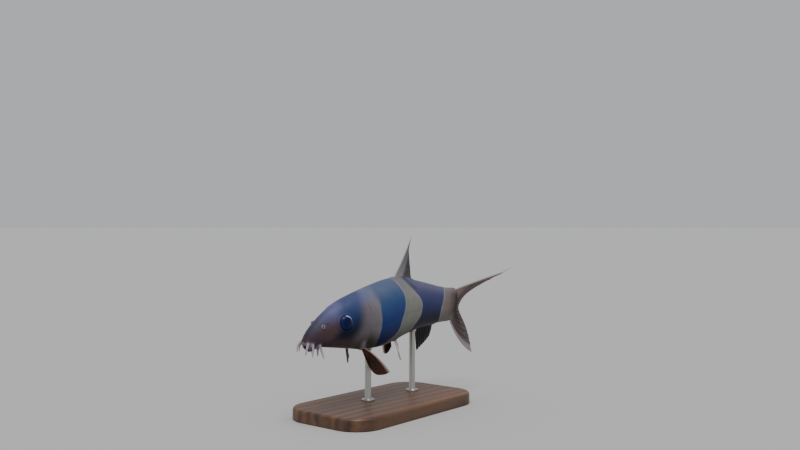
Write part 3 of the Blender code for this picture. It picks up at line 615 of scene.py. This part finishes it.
def oiled_walnut():
    """Planed walnut rubbed with oil: brown heartwood, growth lines along the board and fine dark pores."""
    made, node, finish = new_material("oiled walnut")
    at = node("TexCoord", out="Object")
    grain = node("Mapping", {"Vector": at, "Scale": (1.0, 9.0, 9.0), "Rotation": (0, 0, 0.05)})
    # Growth lines 6 mm apart, in patches 8 mm wide and 70 mm long
    patch = node("TexNoise", {"Vector": grain, "Scale": 14.0, "Detail": 4.0, "Roughness": 0.5})
    lines = {"Vector": grain, "Scale": 5.5, "Distortion": 5.0, "Detail": 3.0, "Detail Scale": 1.5}
    lines = node("TexWave", lines, out="Fac", bands_direction="Y")
    tint = node("ValToRGB", {0: lines}, stops=((0.0, "#3a2418"), (0.45, "#563724"), (1.0, "#6d4a31")))
    slow = node("ValToRGB", {0: patch}, stops=((0.3, "#2e1c13"), (0.7, "#79553a")))
    # Pores 0.3 mm wide and 4 mm long
    long = node("Mapping", {"Vector": at, "Scale": (240.0, 3000.0, 3000.0)})
    pores = node("TexNoise", {"Vector": long, "Scale": 1.0, "Detail": 1.0})
    pore = node("MapRange", {0: pores, 1: 0.62, 2: 0.7, 4: 0.6}, **EASED)
    for share, over in ((0.45, slow), (pore, "#1c100a")):
        tint = node("Mix", {0: share, 6: tint, 7: over}, **COLOURS)
    finish({
        "Base Color": tint, "Roughness": node("MapRange", {0: patch, 1: 0.3, 2: 0.7, 3: 0.42, 4: 0.54}),
        "IOR": 1.48, "Coat Weight": 0.12, "Coat Roughness": 0.3,
        "Normal": node("Bump", {"Height": pore, "Distance": 0.05 * MM, "Strength": 1.0}, invert=True),
    })
    return made


def brushed_steel():
    """Stainless rod drawn through a fine abrasive belt: grey metal with fine lines round it."""
    made, node, finish = new_material("brushed stainless steel")
    at = node("TexCoord", out="Object")
    # Scratches 0.15 mm apart, drawn coarser than a real 0.02 mm grit line
    flat = node("Mapping", {"Vector": at, "Scale": (300.0, 300.0, 6500.0)})
    lines = node("TexNoise", {"Vector": flat, "Scale": 1.0, "Detail": 2.0})
    finish({
        "Base Color": "#b9b8b4", "Metallic": 1.0,
        "Roughness": node("MapRange", {0: lines, 1: 0.3, 2: 0.7, 3: 0.24, 4: 0.4}),
        "Normal": node("Bump", {"Height": lines, "Distance": 0.004 * MM, "Strength": 0.5}),
    })
    return made


# Skin


def skin_rows():
    """Places of the skin's rings, at equal steps of a running sum of the rings that its forms need."""
    fine = np.linspace(SNOUT + 2e-5, SKIN_END - 1e-4, 20000)
    on_head = np.where(fine < SNOUT_BACK, SNOUT_RINGS, HEAD_RINGS)
    need = np.where(fine < GILL_LINE + 0.01, on_head, TRUNK_RINGS)
    need = need + GILL_RINGS * (np.abs(fine - GILL_LINE - 0.003) < 0.009)
    need = need + TAIL_RINGS * (fine > SPREAD_START) + TIP_RINGS / np.sqrt(fine - SNOUT)
    total = np.concatenate([[0], np.cumsum((need[1:] + need[:-1]) / 2 * np.diff(fine))])
    return np.interp(np.linspace(0, total[-1], int(total[-1])), total, fine)


def skin_grid():
    """Share and angle of the skin's points, on rings bent back by cos(angle)^2, and each ring's share."""
    row = skin_rows()[:, None]
    angle = ON_BELLY + circle(RING_POINTS)[None, :]
    before, after = (row - SNOUT) / (GILL_LINE - SNOUT), 1 - (row - GILL_LINE) / GILL_FADE
    bend = np.clip(np.where(row < GILL_LINE, before, after), 0, 1)
    return row + GILL_BULGE * np.cos(angle) ** 2 * bend, angle + 0 * row, row + 0 * angle


def up_from_side(angle):
    """Angle up from the widest line on either side, in degrees."""
    return np.arcsin(np.clip(np.sin(angle), -1, 1)) / DEG


def distance_from(points, at, to=None):
    """Distance of straight points, taken as on the right, from a place on the skin or a line to another."""
    points = np.abs(points * [0, 1, 0]) + points * [1, 0, 1]
    start = surface(*at)
    way = (surface(*to) if to else start + 1e-6) - start
    t = np.clip(((points - start) @ way) / (way @ way), 0, 1)[..., None]
    return np.linalg.norm(points - start - way * t, axis=-1)


def mouth_relief(points):
    """How far each straight point moves along MOUTH_AIM, its pale lip and the hole's painted shade.

    The skin is drawn on to a plane across MOUTH_AIM, less and less outside the lips, which are a ring on it
    whose section is a bell. Inside the ring the mouth drops.
    """
    away = points - surface(MOUTH_AT, ON_BELLY)
    depth = away @ MOUTH_AIM
    ahead = away @ np.cross(MOUTH_AIM, [0, 1, 0])
    radius = np.hypot(away[..., 1] / MOUTH_WIDE, ahead)
    near = ease(*MUZZLE_DEPTH, depth)
    ring = hill(radius - LIP_RING, LIP_ROLL)
    inside = ease(MOUTH_HOLE + 0.2 * MM, MOUTH_HOLE - 0.5 * MM, radius)
    drawn = ease(LIP_RING + MUZZLE, LIP_RING, radius)
    lift = drawn * (blend(LIP_REACH[0] + LIP_REACH[1] * ring, -MOUTH_DEPTH, inside) - depth)
    # The lips are pale round their upper front and less so at the lower rear: painted shade under the lower
    # lip
    upper = ease(0.4, -0.6, ahead / radius)
    return near * lift, near * ring * blend(0.3, 1, upper), near * inside


def face_relief(points):
    """Height, pale share and painted shade of the face's forms, each a bell or a dish of the distance to it.
    """
    height, pale, hollow_shade = (np.zeros(points.shape[:-1]) for _ in range(3))
    hole = NOSTRIL_HOLE
    for at, ring, tall, paleness in NOSTRILS:
        away = distance_from(points, at)
        height += tall * hill(away - ring, NOSTRIL_RIM) - NOSTRIL_DEPTH * ease(hole * 1.3, hole * 0.5, away)
        pale = np.maximum(pale, paleness * hill(away - ring, 0.3 * MM))
        hollow_shade = np.maximum(hollow_shade, ease(hole * 1.1, hole * 0.6, away))
    away = distance_from(points, EYE_AT)
    height += EYE_RIM * hill(away - EYE_RADIUS, EYE_RIM_RADIUS)
    height -= SOCKET_DEPTH * ease(EYE_RADIUS - 0.3 * MM, EYE_RADIUS - 1.0 * MM, away)
    hollow_shade = np.maximum(hollow_shade, 0.2 * hill(distance_from(points, *SPINE_SLIT), 0.25 * MM))
    for _, at, _ in BARBELS:
        pale = np.maximum(pale, hill(distance_from(points, at), 0.9 * MM))
    return height, pale, hollow_shade


def body_relief(x, angle, row, points):
    """Height of the body's forms, and the share of painted shade in the groove behind the gill cover.

    A gill cover swells as a square towards its rear edge and drops behind it into a groove. Muscle bands are
    cosines along lines bent like a W, and the pores' groove and the swellings are bells.
    """
    up = up_from_side(angle)
    on_cover = ease(COVER_LOW - 8, COVER_LOW + 10, up) * ease(COVER_HIGH + 8, COVER_HIGH - 10, up)
    before = np.clip((row - GILL_LINE) / COVER_DEPTH + 1, 0, 1)
    behind = (row - GILL_LINE) * LENGTH
    groove = GROOVE * ease(2.2 * MM, 0.35 * MM, behind)
    height = on_cover * np.where(behind <= 0, COVER_SWELL * before**2, -groove)
    hollow_shade = 0.3 * on_cover * hill(behind - 0.3 * MM, 0.3 * MM)
    side = np.cos(up * DEG) ** 0.5
    wave = np.cos(2 * math.pi * (x + MUSCLE_BEND * np.cos(up * DEG * 4)) / MUSCLE_STEP)
    height += MUSCLE_HEIGHT * ease(0.3, 0.36, x) * ease(1.0, 0.95, x) * wave * side
    line = up * DEG * surface(x, 0)[..., 1]
    height -= PORE_LINE * ease(0.29, 0.31, x) * ease(1.0, 0.98, x) * hill(line, PORE_LINE_RADIUS)
    for places, tall, wide in SWELLINGS:
        height += tall * MM * hill(distance_from(points, *places), wide * MM)
    return height, hollow_shade


def band_distances(x, up, front, rear):
    """Millimetres inside a band's front and rear edge, along the fish over the root of 1 + slope^2."""
    inside = []
    for edge, sign in ((front, 1), (rear, -1)):
        ahead = sign * (x - spline(edge, up)) * LENGTH
        near = [surface(x, np.clip(up + turn, -89, 89) * DEG) for turn in (-2, 2)]
        run = np.linalg.norm(near[1] - near[0], axis=-1)
        slope = (spline(edge, up + 2) - spline(edge, up - 2)) * LENGTH / np.maximum(run, 0.2 * MM)
        inside.append(ahead / np.sqrt(1 + slope**2))
    return np.array(inside) / MM


def markings(x, angle):
    """What the skin's colours follow: shares from 0 to 1, and the distance inside the nearer sharp band.

    rise runs from the belly to the back, crown and under are the back's and the belly's colour, mask is the
    soft first band and rim the pale line along the others. The last share is a painted shadow of the dorsal
    fin, a dark grey over the front of the last band near the back.
    """
    up = up_from_side(angle)
    level = np.sin(up * DEG)
    mask, second, third = (band_distances(x, up, *edges) for edges in BANDS)
    second[0] /= 1 + 2.5 * ease(0.3, 0.8, level)  # its front edge is soft towards the back
    bands = np.stack([*second, *third])
    near = np.exp(-(bands**2) / 2)
    strength = np.array(RIM_STRENGTH)[:, None, None] * np.ones_like(bands)
    strength[2] *= ease(0.9, 0.6, level)
    rim = (near * strength).sum(0) / np.maximum(near.sum(0), 1e-9)
    # Behind the gills the belly's colour reaches higher up the side, and its dark olive there is painted
    # shade
    shade_behind_gills = hill(x - 0.30, 0.05)
    return {
        "rise": (level + 1) / 2,
        "crown": ease(blend(0.6, 0.35, ease(0.28, 0.17, x)), 0.95, level) * ease(0.008, 0.03, x),
        "under": ease(-0.2 + 0.3 * shade_behind_gills, -0.95 + 0.35 * shade_behind_gills, level),
        "mask": ease(-2.5, 3.0, mask[0]) * ease(-2.5, 3.5, mask[1]) * ease(-0.5, 0, level),
        "band_mm": np.maximum(second.min(0), third.min(0)),
        "rim": rim * ease(-0.98, -0.6, level) * ease(1.0, 0.93, level),
        # Painted shadow of the dorsal fin: dark grey over the front of the last band near the back
        "fin_shadow": 0.7 * ease(0.62, 0.85, level) * hill(third[0] - 1.9, 1.8),
    }


def skin_piece(finish):
    """One skin from the lips to the tail's rays: the smooth body with its relief along its normals."""
    x, angle, row = skin_grid()
    points = surface(x, angle)
    face, pale, holes = face_relief(points)
    body, gill = body_relief(x, angle, row, points)
    lips, lip_pale, lip_hole = mouth_relief(points)
    under_snout = 0.75 * ease(0.05, 0.03, x) * ease(4, -18, up_from_side(angle))
    chest = 0.7 * hill(distance_from(points, *CHEST_PATCH), 1.6 * MM)
    points = points + outward(x, angle) * (face + body)[..., None] + MOUTH_AIM * lips[..., None]
    ring = np.linalg.norm(np.diff(points, axis=1, append=points[:, :1]), axis=-1)
    round_ = np.concatenate([0 * ring[:, :1], np.cumsum(ring, 1)[:, :-1]], 1)
    round_ = np.minimum(round_, ring.sum(1, keepdims=True) - round_)
    fields = {
        "along": x,
        "lie": np.stack([x * LENGTH, round_, 0 * x], -1) / MM,
        "pale": np.maximum.reduce([pale, lip_pale, under_snout, chest]),
        # Painted shade in the nostrils, the spine's slit, the groove behind the gill cover and the mouth
        "hollow_shade": np.maximum.reduce([holes, gill, lip_hole]),
        **markings(x, angle),
    }
    nodes = ("head", "torso", "tail", "gill_cover_left", "gill_cover_right")
    loft("skin", place(points), finish, nodes, fields)


# Eyes and feelers


def skin_spot(at, side):
    """World point, outward normal and forward direction on the skin, at (share, angle) on one side."""
    d = 1e-4
    point, normal = on_side(surface(*at), side), on_side(outward(*at), side)
    here = place(point)
    out, ahead = place(point + normal * d) - here, here - place(point + [d, 0, 0])
    out /= np.linalg.norm(out)
    ahead -= out * (ahead @ out)
    return here, out, ahead / np.linalg.norm(ahead)


def eyeball(name, side, finish):
    """A flattened ball set into its socket, 3% taller inside a slight step where the cornea rises."""
    here, out, ahead = skin_spot(EYE_AT, side)
    up = np.cross(out, ahead) * side
    turn = circle(72)[None, :]
    tilt = np.concatenate([np.linspace(-85, 10, 12), np.linspace(14, 89, 40)])[:, None] * DEG
    radius = np.cos(tilt) * EYE_RADIUS * 0.97 + 0 * turn
    swell = 1 + 0.03 * ease(0.85, 0.5, radius / EYE_RADIUS)
    depth = np.sin(tilt) * EYE_BULGE * np.where(tilt > 0, swell, 1) + 0 * turn
    local = np.stack([radius * np.cos(turn), radius * np.sin(turn), depth], -1)
    rings = here - out * EYE_SUNK + local @ np.array([ahead, up, out])
    loft("eye_" + name, rings, finish, ("eye_" + name,), {"disc": local * [1, 1, 0] / MM})


def feeler(word, name, at, reach, side, finish):
    """A tapered feeler along a curve of the second degree, flared at the skin, its tip round."""
    root, out = on_side(surface(*at), side), on_side(outward(*at), side)
    tip = root + on_side(reach, side) * LENGTH
    middle = root + out * BARBEL_BOW + (tip - root) * 0.2
    t = np.linspace(-0.12, 1, 60)[:, None]
    path = (1 - t) ** 2 * root + 2 * t * (1 - t) * middle + t**2 * tip
    t = np.clip(t[:, 0], 0, 1)
    flare = 0.1 * MM * np.exp(-t / 0.08)
    radius = blend(BARBEL_RADIUS, BARBEL_TIP, t) * (1 + 0.008 * np.cos(t * 70)) + flare
    radius = radius * np.sqrt(np.clip((1.012 - t) / 0.05, 0, 1))
    rings = tube_rings(place(path), radius, BARBEL_SIDES)
    reached = np.broadcast_to(t[:, None], rings.shape[:2])
    turn = np.broadcast_to(np.abs(np.linspace(-1, 1, BARBEL_SIDES, endpoint=False)), rings.shape[:2])
    fields = {"reach": reached, "lie": np.stack([reached * 8, turn * 2, 0 * turn], -1)}
    loft(f"feeler_{word}_{name}", rings, finish, (f"barbel_{word}_{name}",), fields)


# Fins


def ray_profile(across, reach):
    """How near each point is to a ray, 1 on it: bells round lines that fork in two, and in two again.

    across counts the rays from 0, and reach runs from the root (0) to the margin (1).
    """
    off = np.abs(across - np.round(across))
    off = np.abs(off - 0.20 * ease(0.35, 1.0, reach))
    off = np.abs(off - 0.085 * ease(0.65, 1.0, reach))
    return hill(off, blend(0.13, 0.05, ease(0, 0.9, reach)))


def normals(sheet):
    """Unit normals of a grid of points, from the cross product of its two slopes."""
    normal = np.cross(np.gradient(sheet, axis=0), np.gradient(sheet, axis=1))
    return normal / np.linalg.norm(normal, axis=-1, keepdims=True)


def fin_piece(name, node, edges, form, finish, dark):
    """A fin as two faces over one curved sheet, thick along its rays and notched between them at the margin.

    edges(form, v) gives the root, the margin and the bow of the ray at share v across, a curve of the second
    degree. dark(v, reach) is the share of the dark field.
    """
    rays = form["rays"]
    columns = (rays - 1) * form["per_ray"] + 1
    v = np.linspace(0, 1, columns)
    root, tip, bow = edges(form, v[:, None])
    across = v * (rays - 1)
    between = np.abs(np.sin(math.pi * across)) ** 1.2
    fork = np.abs(np.sin(math.pi * across * 4)) * FORK_NOTCH
    tip = root + (tip - root) * (1 - NOTCH * (between + fork) / (1 + FORK_NOTCH))[:, None]
    reach = (1 - (1 - np.linspace(0, 1, FIN_ROWS)) ** 1.15)[:, None]
    u = (-ROOT_SUNK + (1 + ROOT_SUNK) * reach)[..., None]
    sheet = (1 - u) ** 2 * root + 2 * u * (1 - u) * ((root + tip) / 2 + bow) + u**2 * tip
    pleat = PLEAT * np.cos(2 * math.pi * across) * ease(0.05, 0.5, reach)
    wave = form["ripple"] * MM * np.sin(across * 0.9 + reach * 4) * reach**2
    sheet = place(sheet + normals(sheet) * (pleat + wave)[..., None])
    ray = ray_profile(across, reach) * ease(0, 0.14, reach)
    depth = WEB * (1 - 0.4 * reach**3) + ray * RAY * (1 - 0.7 * reach)
    depth = depth + form["thick"] * MM * (1 - reach) ** 14
    lead = 0 * depth
    for end, wide, thick in form["leads"]:
        nearness = ease(wide, 0.4 * wide, np.abs(across - end * (rays - 1))) * ease(-0.05, 0.03, reach)
        lead = lead + nearness
        depth = depth + thick * MM * nearness * (1 - 0.6 * reach)
    from_side, from_margin = np.minimum(across, rays - 1 - across), 1 - reach
    depth = depth * np.sqrt(np.clip(0.15 + from_side / 0.3, 0, 1))
    depth = depth * np.sqrt(np.clip(0.1 + from_margin / 0.03, 0, 1))
    half = normals(sheet) * depth[..., None] / 2
    size = FIN_ROWS * columns
    faces = grid_faces(FIN_ROWS, columns)
    back_faces = faces[:, ::-1] + size
    index = np.arange(size).reshape(FIN_ROWS, columns)
    rim = np.concatenate([index[0, :-1], index[:-1, -1], index[-1, :0:-1], index[:0:-1, 0]])
    after = np.roll(rim, -1)
    quads = np.concatenate([faces, back_faces, np.stack([rim, rim + size, after + size, after], -1)])
    length = np.linalg.norm(tip - root, axis=-1)[None, :] * reach
    fields = {
        "reach": reach + 0 * across,
        "ray": ray,
        "lead": lead,
        "dark": dark(v[None, :], reach) + 0 * ray,
        "lie": np.stack([length, across * 1.2 * MM + 0 * length, 0 * length], -1) / MM,
    }
    fields = {key: np.concatenate([value, value]) for key, value in fields.items()}
    piece(name, np.concatenate([sheet + half, sheet - half]), quads, [], finish, (node,), fields)


def middle_edges(form, v):
    """Rays from a straight root on the back or the belly, whose height falls off as a power to the rear."""
    (x, line), (last_x, _) = form["root"]
    root = np.array([1, 0, 1]) * surface(blend(x, last_x, v[:, 0]), line)
    height = blend(*form["height"][::-1], (1 - v) ** form["taper"])
    lean = blend(*form["lean"], v) * DEG
    ray = [np.cos(lean) * height, blend(*form["sideways"], v), np.sin(line) * np.sin(lean) * height]
    return root, root + np.concatenate(ray, 1) * LENGTH, np.array([form["bow"]]) * LENGTH * (1 - v)


def tail_edges(form, v):
    """Rays that fan out and lengthen as a power from the fork to the tips of both lobes."""
    root = np.concatenate([1 + 0 * v, 0 * v, blend(*form["root"], v)], 1) * LENGTH
    spread = 2 * np.abs(v - 0.5)
    reach, angle, bow, taper = (np.where(v < 0.5, *form[key]) for key in ("reach", "angle", "bow", "taper"))
    length, angle = blend(form["fork"], reach, spread**taper), angle * DEG * spread**0.8
    ray = np.concatenate([np.cos(angle) * length, 0 * v, np.sin(angle) * length], 1)
    return root, root + ray * LENGTH, np.concatenate([0 * v, 0 * v, bow * spread**2], 1) * LENGTH


def tail_dark(v, reach):
    """A dark field that fades to the tail's upper edge and to the margins, less so near the root."""
    inner, near_root = ease(0.95, 0.75, v) * ease(0.95, 0.35, reach), 0.75 * ease(0.7, 0.25, reach)
    return 0.85 * ease(0.25, 0.5, v) * np.maximum(inner, near_root)


def paired_edges(side, form, v):
    """Rays from a short root on the skin, from the first to the last, the margin bulging as a parabola."""
    (x, angle), (last_x, last_angle) = form["root"]
    root = surface(blend(x, last_x, v[:, 0]), blend(angle, last_angle, v[:, 0]))
    ray = blend(form["first"], form["last"], v) - np.array([0, 0, form["belly"]]) * 4 * v * (1 - v)
    bow = np.array(form["bow"]) * LENGTH * (1 - v)
    return on_side(root, side), on_side(root + ray * LENGTH, side), on_side(bow, side)


def fins():
    """Every fin, with its web and its dark field by the places across and out."""
    webs = {name: fin_web(name + " fin web", *look) for name, look in WEBS.items()}
    fin_piece("dorsal_fin", "fin_dorsal", middle_edges, DORSAL, webs["dorsal"],
              lambda v, reach: 0.85 * ease(0.38, 0.58, v))
    fin_piece("anal_fin", "fin_anal", middle_edges, ANAL, webs["black"],
              lambda v, reach: 0.5 * ease(1.0, 0.7, reach))
    fin_piece("tail_fin", "fin_tail", tail_edges, TAIL, webs["tail"], tail_dark)
    for name, side in SIDES:
        edges = partial(paired_edges, side)
        fin_piece("chest_fin_" + name, "fin_pectoral_" + name, edges, PECTORAL, webs["chest"],
                  lambda v, reach: 0)
        fin_piece("belly_fin_" + name, "fin_pelvic_" + name, edges, PELVIC, webs["belly"],
                  lambda v, reach: 0.6 * ease(0.3, 0.5, v))


# Stand


def stand_plate(finish):
    """A rounded rectangle drawn in by the profile of its edge: a chamfer below and a quarter round above."""
    corner = np.linspace(0, math.pi / 2, 17)
    turn = np.concatenate([corner + k * math.pi / 2 for k in range(4)])
    x_side, y_side = (np.repeat(signs, len(corner)) for signs in ([1, -1, -1, 1], [1, 1, -1, -1]))
    round_, middle = np.linspace(0, math.pi / 2, 9), BASE_CORNER * 0.9
    below, above = [middle, 0.5 * MM, BASE_CHAMFER, 0], [BASE_EDGE + 0.3 * MM, middle]
    inset = np.concatenate([below, BASE_EDGE * (1 - np.cos(round_)), above])
    shoulder = BASE_THICKNESS - BASE_EDGE + BASE_EDGE * np.sin(round_)
    rise = np.concatenate([[0, 0, 0, BASE_CHAMFER], shoulder, [BASE_THICKNESS, BASE_THICKNESS]])
    radius = BASE_CORNER - inset[:, None]
    x = x_side * (BASE_LENGTH / 2 - BASE_CORNER) + radius * np.cos(turn)
    y = y_side * (BASE_WIDTH / 2 - BASE_CORNER) + radius * np.sin(turn)
    rings = np.stack([x, y, rise[:, None] + 0 * x], -1)
    made = loft("stand_plate", rings, finish, ("stand_base",))
    made.data.set_sharp_from_angle(angle=40 * DEG)


def stand_post(name, station, finish):
    """A profile turned round an upright line: a foot on the plate, a rod and a cup that holds the belly."""
    belly = place(surface(station, ON_BELLY))
    foot, cup = np.array(ROD_FOOT) * MM, np.array(ROD_CUP) * MM
    low, high = BASE_THICKNESS - ROD_INTO_PLATE, belly[2] + ROD_INTO_BELLY
    height = np.concatenate([low + foot[:, 0], high + cup[:, 0]])
    radius = np.concatenate([foot[:, 1], cup[:, 1]])[:, None]
    turn = circle(48)
    x, y = belly[0] + radius * np.cos(turn), belly[1] + radius * np.sin(turn)
    rings = np.stack([x, y, height[:, None] + 0 * turn], -1)
    made = loft("stand_post_" + name, rings, finish, ("stand_rod_" + name,))
    made.data.set_sharp_from_angle(angle=35 * DEG)


# Floor, light and camera


def studio():
    """A wide pale floor under one broad overhead light, seen level from ahead and to the fish's left."""
    mesh = bpy.data.meshes.new("floor")
    turn = circle(FLOOR_SIDES)
    edge = FLOOR_RADIUS * np.stack([np.cos(turn), np.sin(turn), 0 * turn], 1)
    mesh.from_pydata(edge, [], [tuple(range(FLOOR_SIDES))])
    floor = new_object("floor", mesh)
    paint, _, finish = new_material("matt painted floor")
    finish({"Base Color": "#aeaeac", "Roughness": 0.9})
    mesh.materials.append(paint)
    lamp = bpy.data.lights.new("overhead", "SUN")
    lamp.angle, lamp.energy = 40 * DEG, 2.6
    new_object("overhead", lamp).rotation_euler = 14 * DEG, -16 * DEG, 0
    world = bpy.data.worlds.new("surroundings")
    world.use_nodes = True
    fill(world.node_tree, world.node_tree.nodes["Background"], {"Color": "#dfe2e6", "Strength": 0.66})
    bpy.context.scene.world = world
    lens = bpy.data.cameras.new("camera")
    lens.sensor_width, lens.lens, lens.clip_start = 36, 38.6, 0.01
    made = new_object("camera", lens)
    made.location = -0.3352, -0.2844, 0.0948
    made.rotation_euler = 90 * DEG, 0, -50.7 * DEG
    bpy.context.scene.camera = made


def build():
    """The whole fish and its stand."""
    skin_piece(loach_skin())
    eye, soft = fish_eye(), feeler_skin()
    for name, side in SIDES:
        eyeball(name, side, eye)
        for word, at, reach in BARBELS:
            feeler(word, name, at, reach, side, soft)
    fins()
    stand_plate(oiled_walnut())
    steel = brushed_steel()
    for name, station in ROD_STATIONS:
        stand_post(name, station, steel)


build()
studio()
